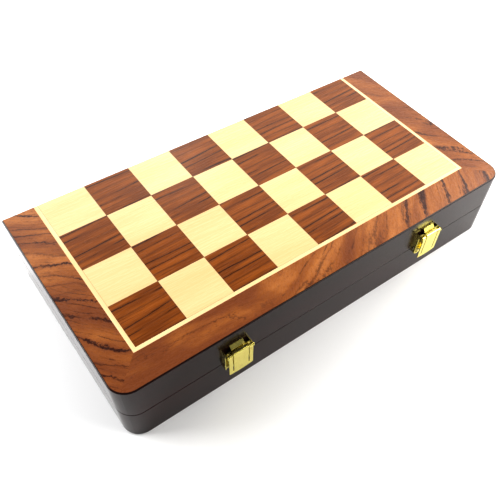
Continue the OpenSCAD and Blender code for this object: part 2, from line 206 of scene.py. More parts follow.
def figureGroup():
    # dark lines along x, about evenly spaced in y, that wander, are ragged and differ in strength
    sizes = dict.fromkeys(("Spacing", "Scale", "Wander", "Ragged", "Width", "Fade"), "Float")
    graph, given, out = newGroup("figureLines", {"Vector": "Vector", **sizes},
                                 {"Line": "Float", "Halo": "Float"})
    place, scale = given["Vector"], given["Scale"]
    broad = graph.math("SUBTRACT", graph.noise(place, scale, *figure["broad"]), 0.5)
    short = graph.vector("MULTIPLY", place, figure["fineStretch"])
    fineScale = graph.math("MULTIPLY", scale, figure["fineScale"])
    fine = graph.math("SUBTRACT", graph.noise(short, fineScale, *figure["fine"]), 0.5)
    height = graph.math("DIVIDE", graph.split(place)["Y"], given["Spacing"])
    height = graph.math("MULTIPLY_ADD", broad, given["Wander"], height)
    height = graph.math("MULTIPLY_ADD", fine, given["Ragged"], height)
    chance = graph.add("ShaderNodeTexWhiteNoise", noise_dimensions="1D")
    graph.put(chance, "W", graph.math("ROUND", height))
    ring = graph.math("PINGPONG", height, 0.5)
    patchScale = graph.math("MULTIPLY", scale, figure["patchScale"])
    patch = graph.noise(place, patchScale, *figure["patch"])
    width = graph.math("MULTIPLY", given["Width"], graph.spread(patch, *figure["widths"]))
    fadeEnd = graph.math("ADD", given["Fade"], figure["fadeOver"])
    kept = graph.spread(patch, given["Fade"], fadeEnd, *figure["faded"])
    own = graph.spread(chance.outputs["Value"], *figure["strengths"])
    strength = graph.math("MULTIPLY", kept, own)
    haloWidth = graph.math("MULTIPLY", width, figure["haloWidth"])
    for label, reach in (("Line", width), ("Halo", haloWidth)):
        mark = graph.spread(ring, 0.0, reach, 1.0, 0.0)
        graph.tree.links.new(graph.math("MULTIPLY", mark, strength), out[label])
    return graph.tree


grain = {"fibre": (3, 0.65), "poreScale": 1.9, "pore": (2, 0.5), "open": (0.6, 0.72)}


def fibreGroup():
    # fine long fibres and short open pores along x
    graph, given, out = newGroup("fibres", {"Vector": "Vector", "Scale": "Float"},
                                 {"Fibre": "Float", "Pore": "Float"})
    fibre = graph.noise(given["Vector"], given["Scale"], *grain["fibre"])
    poreScale = graph.math("MULTIPLY", given["Scale"], grain["poreScale"])
    pore = graph.noise(given["Vector"], poreScale, *grain["pore"])
    graph.tree.links.new(fibre, out["Fibre"])
    graph.tree.links.new(graph.spread(pore, *grain["open"]), out["Pore"])
    return graph.tree


chequer = {"side": 0.03175, "start": (-0.127, -0.052, -1.0), "joint": 0.00034}


def chequerGroup():
    # which square a point is in, as a random colour, and how near it is to the square's edge
    graph, given, out = newGroup(
        "chequerCell", {"Vector": "Vector", "Side": "Float", "Start": "Vector", "Joint": "Float"},
        {"Random": "Color", "Inside": "Vector", "Joint": "Float"})
    side = graph.join(given["Side"], given["Side"], given["Side"])
    fromStart = graph.vector("SUBTRACT", given["Vector"], given["Start"])
    cell = graph.vector("DIVIDE", fromStart, side)
    chance = graph.add("ShaderNodeTexWhiteNoise", noise_dimensions="3D")
    graph.put(chance, "Vector", graph.vector("FLOOR", cell))
    share = graph.vector("FRACTION", cell)
    inside = graph.split(share)
    near = [graph.math("PINGPONG", inside[axis], 0.5) for axis in (0, 1)]
    nearest = graph.math("MULTIPLY", graph.math("MINIMUM", *near), given["Side"])
    graph.tree.links.new(chance.outputs["Color"], out["Random"])
    graph.tree.links.new(graph.vector("MULTIPLY", share, side), out["Inside"])
    graph.tree.links.new(graph.spread(nearest, 0.0, given["Joint"], 1.0, 0.0), out["Joint"])
    return graph.tree


figureLines = figureGroup()
fibres = fibreGroup()
chequerCell = chequerGroup()
noiseRange = (0.3, 0.7)  # where most values of a noise lie


def newMaterial(name, **constants):
    paint = bpy.data.materials.new(name)
    paint.use_nodes = True
    graph = Graph(paint.node_tree)
    shader = paint.node_tree.nodes["Principled BSDF"]
    for socket, value in constants.items():
        shader.inputs[socket].default_value = value
    place = graph.add("ShaderNodeTexCoord").outputs["Object"]
    return paint, graph, shader, place


def coat(graph, shader, color, mottle, sheen, height, relief):
    # colour, a roughness that follows a noise, and a shallow relief
    graph.put(shader, "Base Color", color)
    graph.put(shader, "Roughness", graph.spread(mottle, *noiseRange, *sheen))
    graph.put(shader, "Normal", graph.bump(height, *relief))


def cellPlace(graph, place, jump):
    # leaves of one veneer cut in order, so the figure changes a little from square to square
    cell = useGroup(graph, chequerCell, Vector=place, Side=chequer["side"],
                    Start=chequer["start"], Joint=chequer["joint"])
    moved = graph.vector("ADD", cell["Inside"], graph.vector("MULTIPLY", cell["Random"], jump))
    return moved, cell


def squareHeight(graph, fibre, joint, fibreHeight):
    return graph.math("SUBTRACT", graph.math("MULTIPLY", fibre, fibreHeight), joint)


darkSquare = {
    "base": (0.27, 0.08, 0.01, 1), "deep": (0.15, 0.04, 0.0045, 1),
    "streak": (0.022, 0.005, 0.002, 1), "joint": (0.03, 0.018, 0.003, 1),
    "specular": 0.26, "sheen": (0.2, 0.3), "relief": (0.25, 0.00008), "fibreHeight": 0.12,
    "jump": (0.05, 0.005, 0.02), "along": (2, (0.16, 1, 1)), "tone": (190, 2, 0.5),
    "strong": {"Spacing": 0.0056, "Scale": 75, "Wander": 1.3, "Ragged": 0.22, "Width": 0.095,
               "Fade": 0.36},
    "faintAlong": (1, (0.12, 1, 1), (0.3, 0.1, 0)),
    "faint": {"Spacing": 0.0021, "Scale": 160, "Wander": 1.6, "Ragged": 0.3, "Width": 0.12,
              "Fade": 0.46},
    "fibreAlong": (1.5, (0.06, 1, 1)), "fibreScale": 1500}


def darkSquareWood():
    wood = darkSquare
    paint, graph, shader, place = newMaterial(
        "darkSquareWood", **{"Specular IOR Level": wood["specular"]})
    moved, cell = cellPlace(graph, place, wood["jump"])
    along = graph.turned(moved, *wood["along"])
    strong = useGroup(graph, figureLines, Vector=along, **wood["strong"])
    faintAlong = graph.turned(moved, *wood["faintAlong"])
    faint = useGroup(graph, figureLines, Vector=faintAlong, **wood["faint"])
    fine = useGroup(graph, fibres, Vector=graph.turned(moved, *wood["fibreAlong"]),
                    Scale=wood["fibreScale"])
    tone = graph.spread(graph.noise(along, *wood["tone"]), *noiseRange)
    color = graph.mix(tone, wood["deep"], wood["base"])
    for mask, share, tint in (
            (fine["Fibre"], 0.35, "deep"), (faint["Line"], 0.5, "streak"),
            (strong["Halo"], 0.4, "streak"), (strong["Line"], 1, "streak"),
            (cell["Joint"], 0.9, "joint")):
        color = graph.layer(color, mask, share, wood[tint])
    height = squareHeight(graph, fine["Fibre"], cell["Joint"], wood["fibreHeight"])
    coat(graph, shader, color, fine["Fibre"], wood["sheen"], height, wood["relief"])
    return paint


lightSquare = {
    "base": (0.69, 0.48, 0.25, 1), "warm": (0.68, 0.435, 0.21, 1), "shade": (0.62, 0.42, 0.19, 1),
    "pore": (0.5, 0.34, 0.14, 1), "joint": (0.05, 0.035, 0.008, 1),
    "sheen": (0.22, 0.31), "relief": (0.2, 0.00008), "fibreHeight": 0.1,
    "jump": (0.7, 0.7, 0.7), "along": (-1, (0.12, 1, 1)), "tone": (90, 2, 0.5),
    "toneRange": (0.25, 0.75), "fibreAlong": (-1, (0.05, 1, 1)), "fibreScale": 1300}


def lightSquareWood():
    wood = lightSquare
    paint, graph, shader, place = newMaterial("lightSquareWood")
    moved, cell = cellPlace(graph, place, wood["jump"])
    along = graph.turned(moved, *wood["along"])
    fine = useGroup(graph, fibres, Vector=graph.turned(moved, *wood["fibreAlong"]),
                    Scale=wood["fibreScale"])
    tone = graph.spread(graph.noise(along, *wood["tone"]), *wood["toneRange"])
    color = graph.mix(tone, wood["warm"], wood["base"])
    for mask, share, tint in ((fine["Fibre"], 0.08, "shade"), (fine["Pore"], 0.05, "pore"),
                              (cell["Joint"], 0.7, "joint")):
        color = graph.layer(color, mask, share, wood[tint])
    height = squareHeight(graph, fine["Fibre"], cell["Joint"], wood["fibreHeight"])
    coat(graph, shader, color, fine["Fibre"], wood["sheen"], height, wood["relief"])
    return paint


stringing = {
    "base": (0.74, 0.54, 0.3, 1), "warm": (0.68, 0.45, 0.22, 1), "pore": (0.55, 0.36, 0.17, 1),
    "poreShare": 0.2, "sheen": (0.27, 0.35), "relief": (0.06, 0.00006), "stretch": (0.1, 1, 1),
    "tone": (160, 2, 0.5), "toneRange": (0.3, 0.8), "fibreStretch": (0.04, 1, 1),
    "fibreScale": 1400}


def stringingWood(name, angle):
    wood = stringing
    paint, graph, shader, place = newMaterial(name)
    fine = useGroup(graph, fibres, Vector=graph.turned(place, angle, wood["fibreStretch"]),
                    Scale=wood["fibreScale"])
    tone = graph.noise(graph.turned(place, angle, wood["stretch"]), *wood["tone"])
    color = graph.mix(graph.spread(tone, *wood["toneRange"]), wood["base"], wood["warm"])
    color = graph.layer(color, fine["Pore"], wood["poreShare"], wood["pore"])
    coat(graph, shader, color, fine["Fibre"], wood["sheen"], fine["Fibre"], wood["relief"])
    return paint


borderWood = {
    "base": (0.285, 0.1, 0.023, 1), "pale": (0.4, 0.16, 0.045, 1), "deep": (0.165, 0.05, 0.015, 1),
    "line": (0.036, 0.008, 0.004, 1), "specular": 0.28, "sheen": (0.22, 0.32),
    "relief": (0.08, 0.00006), "stretch": (0.35, 1, 1), "tone": (55, 3, 0.6),
    "deepRange": (0.35, 0.6), "paleRange": (0.52, 0.72),
    "bold": {"Scale": 70, "Ragged": 0.55, "Fade": 0.3}, "boldWidth": 0.055,
    "thin": {"Scale": 130, "Wander": 1.6, "Ragged": 0.6, "Width": 0.08, "Fade": 0.46},
    "thinSpacing": 0.31, "fibreStretch": (0.3, 1, 1), "fibreScale": 1000,
    "flecks": (380, 3, 0.7), "fleckRange": (0.5, 0.75, 0, 0.55)}
# two looks a strip: which way the lines run, how far apart, how dark, where the pattern starts
borderStrips = {
    "front": ({"angle": -4, "spacing": 0.019, "wander": 2.4, "dark": 0.6,
               "shift": (0.21, 0.068, 0)},
              {"angle": 55, "sweep": (0.6, 7.5, 0.4), "spacing": 0.026, "wander": 1.35,
               "dark": 1.45, "shift": (0.62, 0.011, 0)}),
    "left": ({"angle": -48, "spacing": 0.0115, "wander": 1.8, "dark": 1.6,
              "shift": (0.35, 0.003, 0)},
             {"angle": -30, "spacing": 0.008, "wander": 2.25, "dark": 1.4,
              "shift": (0.15, 0.2, 0)}),
    "right": ({"angle": -44, "spacing": 0.0135, "wander": 1.8, "dark": 1.2,
               "shift": (0.55, 0.008, 0)},
              {"angle": -32, "spacing": 0.01, "wander": 2.25, "dark": 0.8,
               "shift": (0.65, 0.1, 0)}),
}
# where the first look gives way to the second: axis, from, to, and how much paler each end is
borderBlend = {"front": (0, -0.07, -0.03, -0.12, 0.06), "left": (1, -0.01, 0.03, -0.1, 0.06),
               "right": (1, -0.01, 0.03, -0.03, -0.07)}


def borderLook(graph, place, look):
    wood = borderWood
    if "sweep" in look:
        at = graph.swept(place, *look["sweep"], look["shift"])
    else:
        at = graph.turned(place, look["angle"], wood["stretch"], look["shift"])
    bold = useGroup(graph, figureLines, Vector=at, Spacing=look["spacing"], Wander=look["wander"],
                    Width=look["dark"] * wood["boldWidth"], **wood["bold"])
    thin = useGroup(graph, figureLines, Vector=at, Spacing=look["spacing"] * wood["thinSpacing"],
                    **wood["thin"])
    fine = useGroup(graph, fibres, Scale=wood["fibreScale"],
                    Vector=graph.turned(place, look["angle"], wood["fibreStretch"]))
    marks = [graph.math("MULTIPLY", mark, look["dark"])
             for mark in (bold["Line"], bold["Halo"], thin["Line"])]
    return (*marks, graph.noise(at, *wood["tone"]), fine["Fibre"], fine["Pore"])


def borderMaterial(strip):
    wood = borderWood
    paint, graph, shader, place = newMaterial(
        "borderWood" + strip.title(), **{"Specular IOR Level": wood["specular"]})
    axis, low, high, *paler = borderBlend[strip]
    share = graph.spread(graph.split(place)[axis], low, high)
    looks = [borderLook(graph, place, look) for look in borderStrips[strip]]
    line, halo, thin, tone, fibre, pore = [graph.mixValue(share, *pair) for pair in zip(*looks)]
    tone = graph.math("ADD", tone, graph.spread(share, 0.0, 1.0, *paler))
    color = graph.mix(graph.spread(tone, *wood["deepRange"]), wood["deep"], wood["base"])
    color = graph.mix(graph.spread(tone, *wood["paleRange"]), color, wood["pale"])
    flecks = graph.spread(graph.noise(place, *wood["flecks"]), *wood["fleckRange"])
    for mask, layerShare, tint in (
            (fibre, 0.35, "deep"), (flecks, 1, "deep"), (pore, 0.45, "line"), (thin, 0.5, "line"),
            (halo, 0.45, "deep"), (line, 1, "line")):
        color = graph.layer(color, mask, layerShare, wood[tint])
    coat(graph, shader, color, fibre, wood["sheen"], fibre, wood["relief"])
    return paint


lacquer = {
    "base": (0.012, 0.004, 0.003, 1), "red": (0.024, 0.006, 0.005, 1),
    "pore": (0.006, 0.004, 0.004, 1), "poreShare": 0.5, "specular": 0.24,
    "sheen": {0: (0.18, 0.23), 90: (0.08, 0.13)}, "relief": (0.02, 0.0001), "fibreHeight": 0.2,
    "stretch": (0.12, 1, 1), "tone": (60, 2, 0.5), "toneRange": (0.35, 0.75),
    "fibreStretch": (0.05, 1, 1), "fibreScale": 900, "orangePeel": (320, 1, 0.4)}


def lacquerWood(name, angle):
    # long rails have their grain at 0 degrees, the glossier short ones at 90
    paint, graph, shader, place = newMaterial(
        name, **{"Specular IOR Level": lacquer["specular"]})
    fine = useGroup(graph, fibres, Vector=graph.turned(place, angle, lacquer["fibreStretch"]),
                    Scale=lacquer["fibreScale"])
    tone = graph.noise(graph.turned(place, angle, lacquer["stretch"]), *lacquer["tone"])
    tone = graph.spread(tone, *lacquer["toneRange"])
    color = graph.mix(tone, lacquer["base"], lacquer["red"])
    color = graph.layer(color, fine["Pore"], lacquer["poreShare"], lacquer["pore"])
    peel = graph.noise(place, *lacquer["orangePeel"])
    height = graph.math("MULTIPLY", fine["Fibre"], lacquer["fibreHeight"])
    height = graph.math("ADD", peel, height)
    coat(graph, shader, color, peel, lacquer["sheen"][angle], height, lacquer["relief"])
    return paint


brass = {
    "base": (0.84, 0.74, 0.22, 1), "deep": (0.74, 0.62, 0.17, 1), "latchSheen": (0.16, 0.28),
    "hingeSheen": (0.2, 0.32), "sheenRange": (0.4, 0.8), "relief": (0.05, 0.00004),
    "stretch": (0.04, 1, 1), "brushed": (2600, 2, 0.6), "brushedSheen": 0.08,
    "cloud": (260, 3, 0.6), "cloudRange": (0.45, 0.8)}


def brassMetal(name, sheen, angle):
    paint, graph, shader, place = newMaterial(name, Metallic=1.0)
    brushed = graph.noise(graph.turned(place, angle, brass["stretch"]), *brass["brushed"])
    cloud = graph.noise(place, *brass["cloud"])
    tone = graph.spread(cloud, *brass["cloudRange"])
    graph.put(shader, "Base Color", graph.mix(tone, brass["base"], brass["deep"]))
    worn = graph.math("ADD", graph.math("MULTIPLY", brushed, brass["brushedSheen"]),
                      graph.spread(cloud, *brass["sheenRange"], *sheen))
    graph.put(shader, "Roughness", worn)
    graph.put(shader, "Normal", graph.bump(brushed, *brass["relief"]))
    return paint


baize = {
    "base": (0.013, 0.09, 0.038, 1), "worn": (0.02, 0.112, 0.05, 1),
    "between": (0.006, 0.04, 0.018, 1), "betweenShare": 0.4, "roughness": 0.95,
    "sheen": (0.6, 0.5), "nap": (2600, 4, 0.7), "lay": (45, 3, 0.6), "layRange": (0.3, 0.8),
    "relief": (0.5, 0.0003)}


def baizeCloth():
    weight, roughness = baize["sheen"]
    paint, graph, shader, place = newMaterial(
        "liningCloth", **{"Sheen Weight": weight, "Sheen Roughness": roughness,
                          "Roughness": baize["roughness"]})
    nap = graph.noise(place, *baize["nap"])
    lay = graph.spread(graph.noise(place, *baize["lay"]), *baize["layRange"])
    color = graph.mix(lay, baize["base"], baize["worn"])
    color = graph.layer(color, nap, baize["betweenShare"], baize["between"])
    graph.put(shader, "Base Color", color)
    graph.put(shader, "Normal", graph.bump(nap, *baize["relief"]))
    return paint


board = {"dark": (0.42, 0.28, 0.15, 1), "pale": (0.6, 0.44, 0.26, 1), "roughness": 0.7,
         "fibreStretch": (0.05, 1, 1), "fibreScale": 700, "relief": (0.3, 0.0001)}


def boardWood():
    paint, graph, shader, place = newMaterial("coreBoard", Roughness=board["roughness"])
    fine = useGroup(graph, fibres, Vector=graph.turned(place, 0, board["fibreStretch"]),
                    Scale=board["fibreScale"])
    color = graph.mix(fine["Fibre"], board["dark"], board["pale"])
    graph.put(shader, "Base Color", color)
    graph.put(shader, "Normal", graph.bump(fine["Fibre"], *board["relief"]))
    return paint


def dress(node, paint):
    slots = nodes[node].material_slots
    if not slots:
        nodes[node].data.materials.append(paint)
    for place in slots:
        place.material = paint


alongRail, acrossRail = lacquerWood("railLacquerLong", 0), lacquerWood("railLacquerShort", 90)
squaresDark, squaresLight = darkSquareWood(), lightSquareWood()
stringLong, stringShort = stringingWood("stringingLong", 0), stringingWood("stringingShort", 90)
borders = {strip: borderMaterial(strip) for strip in borderStrips}
latchBrass = brassMetal("latchBrass", brass["latchSheen"], 90)
hingeBrass = brassMetal("hingeBrass", brass["hingeSheen"], 0)
cloth, core = baizeCloth(), boardWood()
trayPaints = {
    "front_rail": alongRail, "back_rail": alongRail, "left_rail": acrossRail,
    "right_rail": acrossRail, "border_front": borders["front"], "border_left": borders["left"],
    "border_right": borders["right"], "stringing_front": stringLong,
    "stringing_left": stringShort, "stringing_right": stringShort, "dark_squares": squaresDark,
    "light_squares": squaresLight, "lining": cloth, "panel": core}
for part, paint in trayPaints.items():
    for tray in ("lower", "upper"):
        dress(tray + "_" + part, paint)
for name in nodes:
    if name.startswith("hinge"):
        dress(name, hingeBrass)
    if name.startswith("latch"):
        dress(name, latchBrass)
print("materials ready")

# modelling helpers: settings are in millimetres, the scene is in metres
mm = 0.001
slack = 0.1  # how far off a place may be in a test
close = 0.01  # the same where slack would take in too much
facing = 0.9  # the least share of a normal that faces a given way
weld = 0.002  # corners nearer than this become one
softBelow = 38  # degrees between faces that are shaded as one


def deselect():
    if bpy.context.object and bpy.context.object.mode != "OBJECT":
        bpy.ops.object.mode_set(mode="OBJECT")
    bpy.ops.object.select_all(action="DESELECT")


def pick(*pieces):
    deselect()
    for piece in pieces:
        piece.select_set(True)
    bpy.context.view_layer.objects.active = pieces[0]


def spot(place, *offset):
    return (Vector(place) + Vector(offset)) * mm


def choose(piece, kind, place, test):
    # in edit mode, select what passes a test on its middle, measured from the place, and on its
    # normal, which for an edge is its direction
    bpy.ops.mesh.select_mode(type=kind)
    bpy.ops.mesh.select_all(action="DESELECT")
    cage = bmesh.from_edit_mesh(piece.data)
    for part in {"VERT": cage.verts, "EDGE": cage.edges, "FACE": cage.faces}[kind]:
        corners = [part] if kind == "VERT" else part.verts
        middle = sum((corner.co for corner in corners), Vector()) / len(corners) / mm
        if kind == "EDGE":
            normal = (part.verts[1].co - part.verts[0].co).normalized()
        else:
            normal = part.normal
        if test(middle - Vector(place), normal):
            part.select_set(True)
    cage.select_flush_mode()
    bmesh.update_edit_mesh(piece.data)


def outline(name, place, points):
    # a flat face drawn point by point
    corners = [spot(place, *point) for point in points]
    deselect()
    bpy.ops.mesh.primitive_plane_add(size=0.4 * mm, location=corners[0])
    piece = bpy.context.object
    piece.name = name
    bpy.ops.object.transform_apply(location=True)
    bpy.ops.object.mode_set(mode="EDIT")
    bpy.ops.mesh.select_mode(type="VERT")
    bpy.ops.mesh.select_all(action="SELECT")
    bpy.ops.mesh.merge(type="CENTER")
    for before, after in zip(corners, corners[1:]):
        bpy.ops.mesh.extrude_region_move(TRANSFORM_OT_translate={"value": after - before})
    bpy.ops.mesh.select_all(action="SELECT")
    bpy.ops.mesh.edge_face_add()
    return piece


def bothSides(rightSide):
    # the points of the right side, then their mirror images in reverse order
    return rightSide + [(-x, y, z) for x, y, z in reversed(rightSide)]


def push(x, y, z):
    bpy.ops.mesh.extrude_region_move(TRANSFORM_OT_translate={"value": Vector((x, y, z)) * mm})


def pushAll(x, y, z):
    bpy.ops.mesh.select_all(action="SELECT")
    push(x, y, z)


def thicken(x, y, z):
    # a drawn face becomes a closed sheet whose normals point outwards
    pushAll(x, y, z)
    bpy.ops.mesh.select_all(action="SELECT")
    bpy.ops.mesh.normals_make_consistent(inside=False)


def roll(place, centre, turn, steps):
    # bend what is selected about a line along X; a positive turn goes from up to the front
    axis = (-1 if turn > 0 else 1, 0, 0)  # spin is left-handed
    bpy.ops.mesh.spin(steps=steps, angle=radians(abs(turn)), center=spot(place, *centre), axis=axis)


def bevel(width, segments, affect="EDGES"):
    bpy.ops.mesh.bevel(offset=width * mm, segments=segments, affect=affect)


def roundCorners(piece, place, test, radius, segments=5):
    choose(piece, "VERT", place, test)
    bevel(radius, segments, "VERTICES")


def cut(place, at, across):
    bpy.ops.mesh.select_all(action="SELECT")
    bpy.ops.mesh.bisect(plane_co=spot(place, *at), plane_no=across)


def scaled(place, centre, x, y, z):
    bpy.ops.transform.resize(value=(x, y, z), center_override=spot(place, *centre))


def smoothEdges(piece, width, segments=3, angle=40):
    # rounded arrises, as a worn stamping has
    pick(piece)
    bpy.ops.object.mode_set(mode="EDIT")
    bpy.ops.mesh.select_all(action="SELECT")
    bpy.ops.mesh.remove_doubles(threshold=weld * mm)
    bpy.ops.mesh.normals_make_consistent(inside=False)
    bpy.ops.object.mode_set(mode="OBJECT")
    bpy.ops.object.modifier_add(type="BEVEL")
    edge = piece.modifiers[-1]
    edge.width, edge.segments = width * mm, segments
    edge.limit_method, edge.angle_limit = "ANGLE", radians(angle)
    bpy.ops.object.modifier_apply(modifier=edge.name)
    bpy.ops.object.modifier_add(type="WEIGHTED_NORMAL")
    bpy.ops.object.shade_smooth_by_angle(angle=radians(softBelow))
    bpy.ops.object.modifier_apply(modifier=piece.modifiers[-1].name)


def joined(*pieces):
    pick(*pieces)
    bpy.ops.object.join()
    return bpy.context.object


def copied(piece, name, across):
    pick(piece)
    offset = Vector((across, 0, 0)) * mm
    bpy.ops.object.duplicate_move(TRANSFORM_OT_translate={"value": offset})
    twin = bpy.context.object
    twin.name = name
    bpy.ops.object.transform_apply(location=True)
    return twin


def fastenings(first, name, between, other):
    # one fastening and its copies: beside it, and the pair again at the other place
    return [first] + [copied(first, name + str(i + 2), across)
                      for i, across in enumerate((-between, other, other - between))]


def settle(piece, body, slot, paint, *stoodFor):
    piece.data.materials.clear()
    piece.data.materials.append(paint)
    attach(piece, body)
    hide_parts(*stoodFor)


def cylinder(name, place, middle, radius, length, along, vertices=32):
    deselect()
    turn = {"x": (0, radians(90), 0), "y": (radians(90), 0, 0), "z": (0, 0, 0)}[along]
    bpy.ops.mesh.primitive_cylinder_add(
        vertices=vertices, radius=radius * mm, depth=length * mm, location=spot(place, *middle),
        rotation=turn)
    piece = bpy.context.object
    piece.name = name
    bpy.ops.object.transform_apply(location=True, rotation=True)
    bpy.ops.object.mode_set(mode="EDIT")
    return piece


# the left latch's place on the wall at the parting line, the way to the other, and its pin
latch = {"place": (-78.1, -75, 25.75), "other": 156.2, "pin": (-3.95, 10.9)}
lever = {"half": 8.4, "out": 5.2, "sheet": 0.7, "corner": -7.2, "foot": -8, "bowSteps": 8,
         "cornerRadius": 0.7, "tongue": 5.1, "slot": 5.8, "slotFoot": -5, "slotRadius": 0.3,
         "bend": 12.1, "bendRadius": 0.9, "bendTurn": (-90, 10), "lip": 1.3,
         "loopTurn": (-270, 26), "hook": (2.6, 3.3, -5.9, -5.2), "hookArris": 0.12, "arris": 0.16}


def bowedFoot(y):
    steps, rise = lever["bowSteps"], lever["corner"] - lever["foot"]
    return [(lever["half"] * t / steps, y, lever["foot"] + rise * (t / steps) ** 2)
            for t in range(-steps, steps + 1)]


def makeHook():
    half, out, low, high = lever["hook"]
    corners = ((-half, low), (half, low), (half, high), (-half, high))
    hook = outline("hook", latch["place"], [(x, -out, z) for x, z in corners])
    pushAll(0, out - lever["out"] + lever["sheet"] / 2, 0)
    smoothEdges(hook, lever["hookArris"])
    return hook


def makeLever():
    place, pinY, pinZ = latch["place"], *latch["pin"]
    half, y, slot, tongue = lever["half"], -lever["out"], lever["slot"], lever["tongue"]
    slotFoot, bend, corner = lever["slotFoot"], lever["bend"], lever["corner"]
    rightSide = [(half, y, pinZ), (slot, y, pinZ), (slot, y, slotFoot), (tongue, y, slotFoot),
                 (tongue, y, bend)]
    piece = outline("latchLeverLeft", place, bowedFoot(y) + bothSides(rightSide))
    roundCorners(piece, place, lambda p, n: abs(p.x) > half - slack and p.z < corner + slack,
                 lever["cornerRadius"])
    roundCorners(piece, place, lambda p, n: (tongue - slack < abs(p.x) < slot + slack
                                             and p.z < slotFoot + slack), lever["slotRadius"], 4)
    thicken(0, lever["sheet"], 0)
    choose(piece, "FACE", place, lambda p, n: n.z > facing and p.z > bend - slack)
    roll(place, (0, y + lever["bendRadius"], bend), *lever["bendTurn"])  # the springy middle
    push(0, lever["lip"], 0)
    choose(piece, "FACE", place,
           lambda p, n: n.z > facing and abs(p.z - pinZ) < slack and abs(p.x) > slot)
    roll(place, (0, pinY, pinZ), *lever["loopTurn"])  # the two bands are rolled round the pin
    smoothEdges(piece, lever["arris"])
    return joined(piece, makeHook())


latchFrame = {"half": 9.1, "inner": 8.6, "out": 2.2, "sheet": 0.5, "low": -3.4, "sideLow": -5,
              "high": 12.3, "cornerRadius": 0.5, "tab": 4.55, "bendRadius": 1.2,
              "tabTurn": (-40, 8), "tabRun": (1.919, 2.287), "ear": 1.3, "earSteps": 8,
              "clear": 0.3, "prongs": (2, 4, 8, 10), "prong": 4.5, "fold": 0.45, "foldSteps": 5,
              "arris": 0.1}


def makeFrame():
    place, pinY, pinZ = latch["place"], *latch["pin"]
    half, inner, y = latchFrame["half"], latchFrame["inner"], -latchFrame["out"]
    sheet, tab, ear = latchFrame["sheet"], latchFrame["tab"], latchFrame["ear"]
    low, high, clear = latchFrame["low"], latchFrame["high"], latchFrame["clear"]
    firstLow, firstHigh, nextLow, nextHigh = latchFrame["prongs"]

    def folded(p):  # in the two strips that are folded back to the wall
        return abs(p.x) > inner

    def onProng(p):
        return firstLow < p.z < firstHigh or nextLow < p.z < nextHigh

    rightSide = [(half, y, low), (half, y, high), (tab, y, high)]
    piece = outline("latchFrameLeft", place, bothSides(rightSide))
    roundCorners(piece, place, lambda p, n: abs(p.x) > half - slack and p.z > high - slack,
                 latchFrame["cornerRadius"], 4)
    thicken(0, sheet, 0)
    choose(piece, "FACE", place, lambda p, n: n.z > facing and abs(p.x) < tab and p.z > 0)
    roll(place, (0, y + latchFrame["bendRadius"], high), *latchFrame["tabTurn"])
    push(0, *latchFrame["tabRun"])  # a tab slopes back to the wall
    scaled(place, (0, 0, 0), 1, 0, 1)
    for x in (-inner, inner):
        cut(place, (x, 0, 0), (1, 0, 0))
    for z in (clear, *latchFrame["prongs"], pinZ - ear):
        cut(place, (0, 0, z), (0, 0, 1))
    choose(piece, "FACE", place, lambda p, n: n.y > facing and folded(p))
    push(0, -y - sheet - clear, 0)
    choose(piece, "FACE", place, lambda p, n: n.y > facing and folded(p) and p.z > clear)
    push(0, clear, 0)
    choose(piece, "FACE", place, lambda p, n: n.z < -facing and folded(p) and p.z < low + slack)
    push(0, 0, latchFrame["sideLow"] - low)
    choose(piece, "FACE", place, lambda p, n: n.y > facing and folded(p) and onProng(p))
    push(0, latchFrame["prong"], 0)
    choose(piece, "FACE", place, lambda p, n: n.y < -facing and folded(p) and p.z > pinZ - ear)
    push(0, pinY - ear - y, 0)
    choose(piece, "EDGE", place,
           lambda p, n: abs(n.x) > facing and p.y < pinY - ear + slack and folded(p))
    bevel(ear, latchFrame["earSteps"])
    choose(piece, "EDGE", place,
           lambda p, n: (abs(n.z) > facing and abs(p.x) > half - close
                         and abs(p.y - y) < close and p.z < pinZ - ear))
    bevel(latchFrame["fold"], latchFrame["foldSteps"])
    smoothEdges(piece, latchFrame["arris"])
    return piece


latchPin = {"radius": 0.5, "half": 9.1, "head": 0.85, "headLength": 0.4, "arris": 0.2}


def makePin():
    place, (pinY, pinZ) = latch["place"], latch["pin"]
    radius, half = latchPin["radius"], latchPin["half"]
    grow = latchPin["head"] / radius
    piece = cylinder("latchPinLeft", place, (0, pinY, pinZ), radius, 2 * half, "x")
    for side in (-1, 1):
        choose(piece, "FACE", place, lambda p, n: n.x * side > facing and p.x * side > 0)
        push(0, 0, 0)
        scaled(place, (side * half, pinY, pinZ), 1, grow, grow)
        push(side * latchPin["headLength"], 0, 0)
    smoothEdges(piece, latchPin["arris"], 4)
    return piece


catch = {"half": 6, "sheet": 0.7, "foot": -9.2, "shoulder": -6, "neck": 3.2, "bend": -5.3,
         "cornerRadius": 1.1, "bendRadius": 1.1, "bendTurn": (90, 8), "reach": 1.9, "arris": 0.14}


def makeCatch():
    place, y, bend = latch["place"], -catch["sheet"], catch["bend"]
    half, shoulder, neck = catch["half"], catch["shoulder"], catch["neck"]
    rightSide = [(half, y, catch["foot"]), (half, y, shoulder), (neck, y, shoulder),
                 (neck, y, bend)]
    piece = outline("latchCatchLeft", place, bothSides(rightSide))
    roundCorners(piece, place, lambda p, n: abs(p.x) > half - slack, catch["cornerRadius"])
    thicken(0, catch["sheet"], 0)
    choose(piece, "FACE", place, lambda p, n: n.z > facing and p.z > bend - slack)
    roll(place, (0, -catch["bendRadius"], bend), *catch["bendTurn"])
    push(0, -catch["reach"], 0)
    smoothEdges(piece, catch["arris"])
    return piece


nail = {"spot": (4.4, -7.6), "head": 1.1, "headHeight": 0.5, "shank": 0.55, "length": 5.5,
        "tip": 1.2, "point": 0.2, "arris": 0.34, "edge": 0.03}


